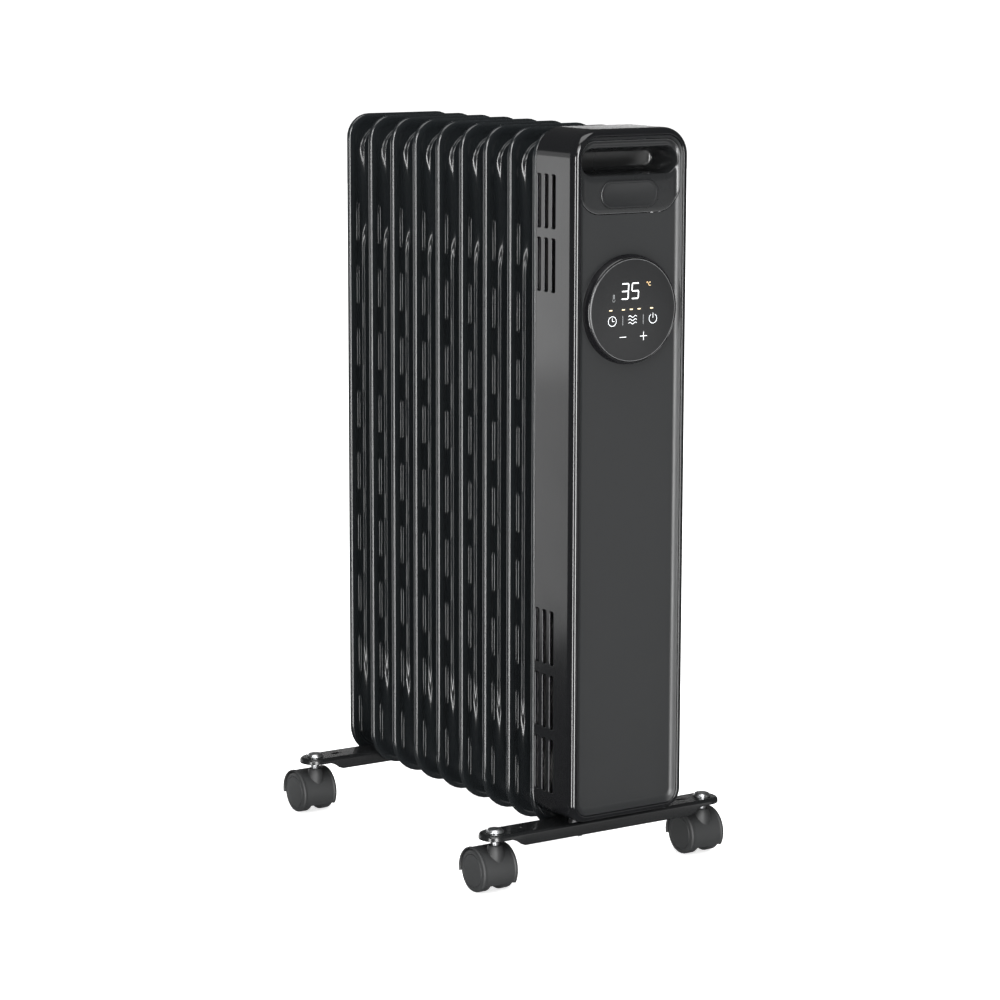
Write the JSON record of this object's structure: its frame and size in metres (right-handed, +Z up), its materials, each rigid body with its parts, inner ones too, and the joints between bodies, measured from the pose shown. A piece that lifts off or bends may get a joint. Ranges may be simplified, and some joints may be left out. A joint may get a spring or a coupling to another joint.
{
  "type": "oil filled radiator heater",
  "caption": "Free-standing oil filled radiator heater: a row of flat steel fins, a slim control housing with finger recess and round touch control, on two feet with twin wheel castors.",
  "frame": {"origin": "on the floor under the centre of the bounding box", "axes": "+Z up; X across the heater, along its feet; Y along the row of fins, with the control panel facing -Y"},
  "size_m": [0.2496, 0.373, 0.6362],
  "materials": {
    "fin_paint": "semi-gloss near-black stove enamel",
    "header_steel": "semi-gloss near-black stove enamel",
    "plain_steel": "plain drawn or pressed steel",
    "brass": "turned brass",
    "gloss_black_shell": "glossy black moulding",
    "gloss_black_insert": "semi-gloss black moulding",
    "gloss_black_bezel": "glossy black moulding",
    "satin_panel": "satin charcoal moulding",
    "badge_black": "satin black plate, plain",
    "disc_glass": null,
    "circuit_board": "green circuit board",
    "moulded_white": "off-white moulding",
    "wire_brown": "brown wire insulation",
    "wire_blue": "blue wire insulation",
    "castor_plastic": "fine-grained charcoal plastic",
    "foot_paint": "semi-gloss black paint on pressed steel",
    "bright_zinc": "bright zinc plate"
  },
  "bodies": {
    "root": {"fin_1": "fin_paint", "fin_2": "fin_paint", "fin_3": "fin_paint", "fin_4": "fin_paint", "fin_5": "fin_paint", "fin_6": "fin_paint", "fin_7": "fin_paint", "fin_8": "fin_paint", "fin_9": "fin_paint", "top_header": "header_steel", "bottom_header": "header_steel", "oil_filler_plug": "plain_steel", "heating_element": "plain_steel", "element_flange": "brass", "housing_shell": "gloss_black_shell", "housing_back_plate": "plain_steel", "front_panel": "satin_panel", "handle_insert": "gloss_black_insert", "badge_plate": "badge_black", "disc_bezel": "gloss_black_bezel", "touch_disc": "disc_glass", "display_board": "circuit_board", "power_board": "circuit_board", "terminal_block": "moulded_white", "tilt_switch": "moulded_white", "thermal_cutout": "moulded_white", "room_sensor": "moulded_white", "live_wire": "wire_brown", "neutral_wire": "wire_blue", "cord_gland": "castor_plastic", "front_foot": "foot_paint", "rear_foot": "foot_paint", "front_foot_bracket": "plain_steel", "rear_u_bolt": "bright_zinc", "front_wing_nut_left": "bright_zinc", "front_wing_nut_right": "bright_zinc", "rear_wing_nut_left": "bright_zinc", "rear_wing_nut_right": "bright_zinc", "castor_fl_stem": "bright_zinc", "castor_fr_stem": "bright_zinc", "castor_rl_stem": "bright_zinc", "castor_rr_stem": "bright_zinc"},
    "castor_fl": {"castor_fl_hood": "castor_plastic", "castor_fl_axle": "plain_steel"},
    "castor_fl_wheel_left_body": {"castor_fl_wheel_left": "castor_plastic"},
    "castor_fl_wheel_right_body": {"castor_fl_wheel_right": "castor_plastic"},
    "castor_fr": {"castor_fr_hood": "castor_plastic", "castor_fr_axle": "plain_steel"},
    "castor_fr_wheel_left_body": {"castor_fr_wheel_left": "castor_plastic"},
    "castor_fr_wheel_right_body": {"castor_fr_wheel_right": "castor_plastic"},
    "castor_rl": {"castor_rl_hood": "castor_plastic", "castor_rl_axle": "plain_steel"},
    "castor_rl_wheel_left_body": {"castor_rl_wheel_left": "castor_plastic"},
    "castor_rl_wheel_right_body": {"castor_rl_wheel_right": "castor_plastic"},
    "castor_rr": {"castor_rr_hood": "castor_plastic", "castor_rr_axle": "plain_steel"},
    "castor_rr_wheel_left_body": {"castor_rr_wheel_left": "castor_plastic"},
    "castor_rr_wheel_right_body": {"castor_rr_wheel_right": "castor_plastic"}
  },
  "joints": [
    {"name": "castor_fl_swivel", "type": "hinge", "parent": "root", "child": "castor_fl", "pos_m": [-0.1077, -0.1455, 0.0305], "axis": [0, 0, 1], "continuous": true},
    {"name": "castor_fl_wheel_left_spin", "type": "hinge", "parent": "castor_fl", "child": "castor_fl_wheel_left_body", "pos_m": [-0.1077, -0.1355, 0.0185], "axis": [1, 0, 0], "continuous": true},
    {"name": "castor_fl_wheel_right_spin", "type": "hinge", "parent": "castor_fl", "child": "castor_fl_wheel_right_body", "pos_m": [-0.1077, -0.1355, 0.0185], "axis": [1, 0, 0], "continuous": true},
    {"name": "castor_fr_swivel", "type": "hinge", "parent": "root", "child": "castor_fr", "pos_m": [0.1077, -0.1455, 0.0305], "axis": [0, 0, 1], "continuous": true},
    {"name": "castor_fr_wheel_left_spin", "type": "hinge", "parent": "castor_fr", "child": "castor_fr_wheel_left_body", "pos_m": [0.1077, -0.1355, 0.0185], "axis": [1, 0, 0], "continuous": true},
    {"name": "castor_fr_wheel_right_spin", "type": "hinge", "parent": "castor_fr", "child": "castor_fr_wheel_right_body", "pos_m": [0.1077, -0.1355, 0.0185], "axis": [1, 0, 0], "continuous": true},
    {"name": "castor_rl_swivel", "type": "hinge", "parent": "root", "child": "castor_rl", "pos_m": [-0.1077, 0.156, 0.0305], "axis": [0, 0, 1], "continuous": true},
    {"name": "castor_rl_wheel_left_spin", "type": "hinge", "parent": "castor_rl", "child": "castor_rl_wheel_left_body", "pos_m": [-0.1077, 0.166, 0.0185], "axis": [1, 0, 0], "continuous": true},
    {"name": "castor_rl_wheel_right_spin", "type": "hinge", "parent": "castor_rl", "child": "castor_rl_wheel_right_body", "pos_m": [-0.1077, 0.166, 0.0185], "axis": [1, 0, 0], "continuous": true},
    {"name": "castor_rr_swivel", "type": "hinge", "parent": "root", "child": "castor_rr", "pos_m": [0.1077, 0.156, 0.0305], "axis": [0, 0, 1], "continuous": true},
    {"name": "castor_rr_wheel_left_spin", "type": "hinge", "parent": "castor_rr", "child": "castor_rr_wheel_left_body", "pos_m": [0.1077, 0.166, 0.0185], "axis": [1, 0, 0], "continuous": true},
    {"name": "castor_rr_wheel_right_spin", "type": "hinge", "parent": "castor_rr", "child": "castor_rr_wheel_right_body", "pos_m": [0.1077, 0.166, 0.0185], "axis": [1, 0, 0], "continuous": true}
  ]
}
